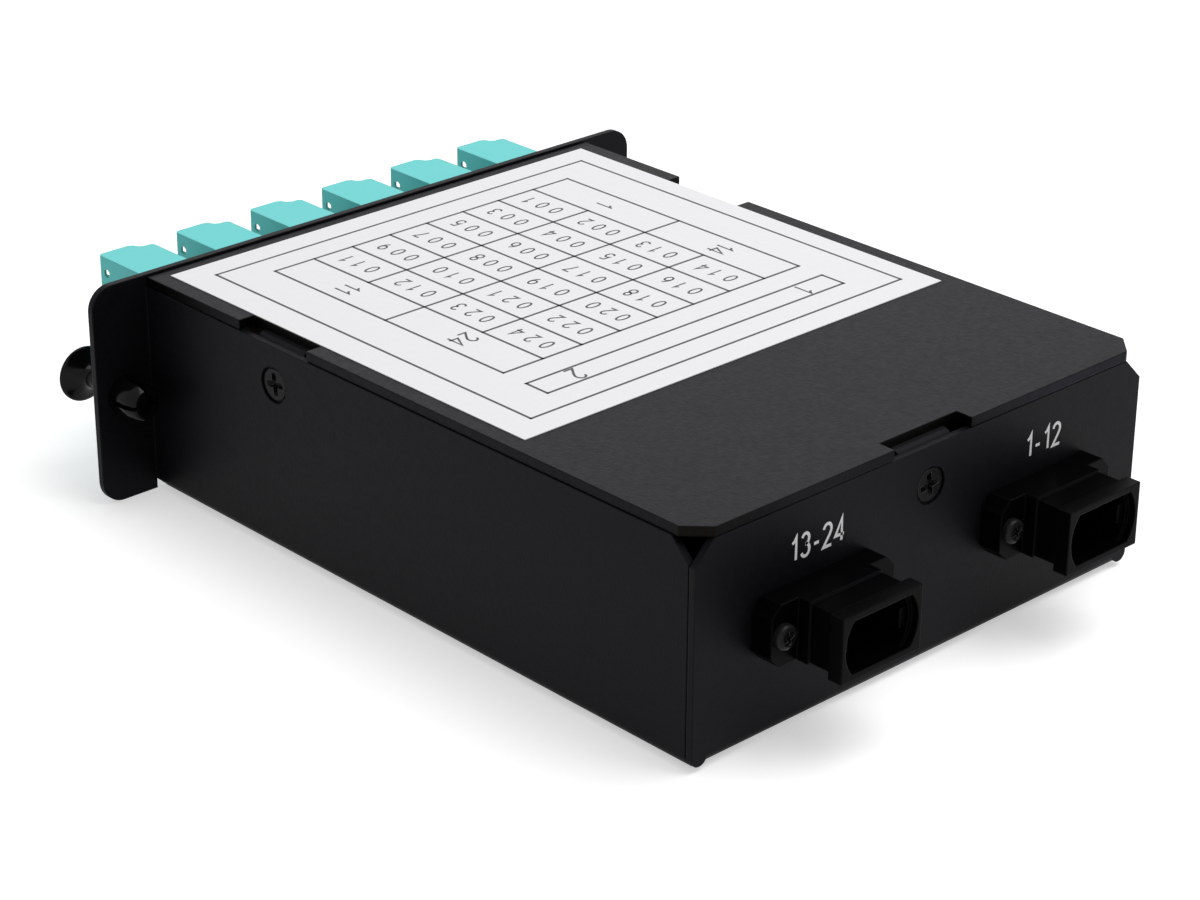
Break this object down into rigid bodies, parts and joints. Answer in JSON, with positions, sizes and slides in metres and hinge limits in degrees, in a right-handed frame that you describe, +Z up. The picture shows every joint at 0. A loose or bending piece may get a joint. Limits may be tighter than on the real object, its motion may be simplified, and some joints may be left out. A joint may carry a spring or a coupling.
{
  "type": "fibre cassette",
  "caption": "Low black folded-steel fibre cassette with a labelled lid, a row of aqua quad LC adapters in its face plate, MPO adapters in the rear wall and a push-pull latch in each ear",
  "frame": {"origin": "middle of the tray's flat underside, half way from the face plate's front to the rear wall's outer face", "axes": "+X across the cassette, +Y from the face plate to the rear wall, +Z up through the lid"},
  "size_m": [0.112, 0.1508, 0.0361],
  "materials": {
    "tray_paint": "black powder coat, fine texture",
    "lid_paint": "black powder coat, fine texture, lighter in the light",
    "paper": "white printed self-adhesive paper",
    "black_screw": "black oxide steel",
    "zinc": "zinc-plated steel",
    "aqua_plastic": "moulded, aqua, smooth",
    "spring_steel": "bare spring steel",
    "ceramic": "white zirconia",
    "beige_plastic": "moulded, beige",
    "white_rubber": "soft white boot",
    "aqua_jacket": "aqua fibre jacket",
    "black_rubber": "soft black boot",
    "black_plastic": "moulded black",
    "natural_nylon": "moulded natural nylon",
    "black_nylon": "moulded black nylon"
  },
  "bodies": {
    "cassette": {"adapter_clip_1": "spring_steel", "adapter_clip_2": "spring_steel", "adapter_clip_3": "spring_steel", "adapter_clip_4": "spring_steel", "adapter_clip_5": "spring_steel", "adapter_clip_6": "spring_steel", "cradle_left": "natural_nylon", "cradle_right": "natural_nylon", "fibres_1": "aqua_jacket", "fibres_2": "aqua_jacket", "fibres_3": "aqua_jacket", "fibres_4": "aqua_jacket", "fibres_5": "aqua_jacket", "fibres_6": "aqua_jacket", "furcation_left": "black_plastic", "furcation_right": "black_plastic", "grommet_left": "black_nylon", "grommet_right": "black_nylon", "label": "paper", "lc_adapter_1": "aqua_plastic", "lc_adapter_2": "aqua_plastic", "lc_adapter_3": "aqua_plastic", "lc_adapter_4": "aqua_plastic", "lc_adapter_5": "aqua_plastic", "lc_adapter_6": "aqua_plastic", "lc_adapter_rear_1": "aqua_plastic", "lc_adapter_rear_2": "aqua_plastic", "lc_adapter_rear_3": "aqua_plastic", "lc_adapter_rear_4": "aqua_plastic", "lc_adapter_rear_5": "aqua_plastic", "lc_adapter_rear_6": "aqua_plastic", "lc_boots": "white_rubber", "lc_plugs_1": "beige_plastic", "lc_plugs_2": "beige_plastic", "lc_plugs_3": "beige_plastic", "lc_plugs_4": "beige_plastic", "lc_plugs_5": "beige_plastic", "lc_plugs_6": "beige_plastic", "lid": "lid_paint", "lid_screws": "black_screw", "mpo_adapter_left": "black_plastic", "mpo_adapter_right": "black_plastic", "mpo_boot_left": "black_rubber", "mpo_boot_right": "black_rubber", "mpo_inner_left": "black_plastic", "mpo_inner_right": "black_plastic", "mpo_nuts": "zinc", "mpo_plug_left": "black_plastic", "mpo_plug_right": "black_plastic", "mpo_screws": "black_screw", "sleeves": "ceramic", "tray": "tray_paint", "trunk_left": "aqua_jacket", "trunk_right": "aqua_jacket"},
    "plunger_left": {"plunger_left": "black_nylon"},
    "plunger_right": {"plunger_right": "black_nylon"}
  },
  "joints": [
    {"name": "plunger_left_slide", "type": "slide", "parent": "cassette", "child": "plunger_left", "axis": [0, 1, 0], "range_m": [0, 0.006]},
    {"name": "plunger_right_slide", "type": "slide", "parent": "cassette", "child": "plunger_right", "axis": [0, 1, 0], "range_m": [0, 0.006]}
  ]
}
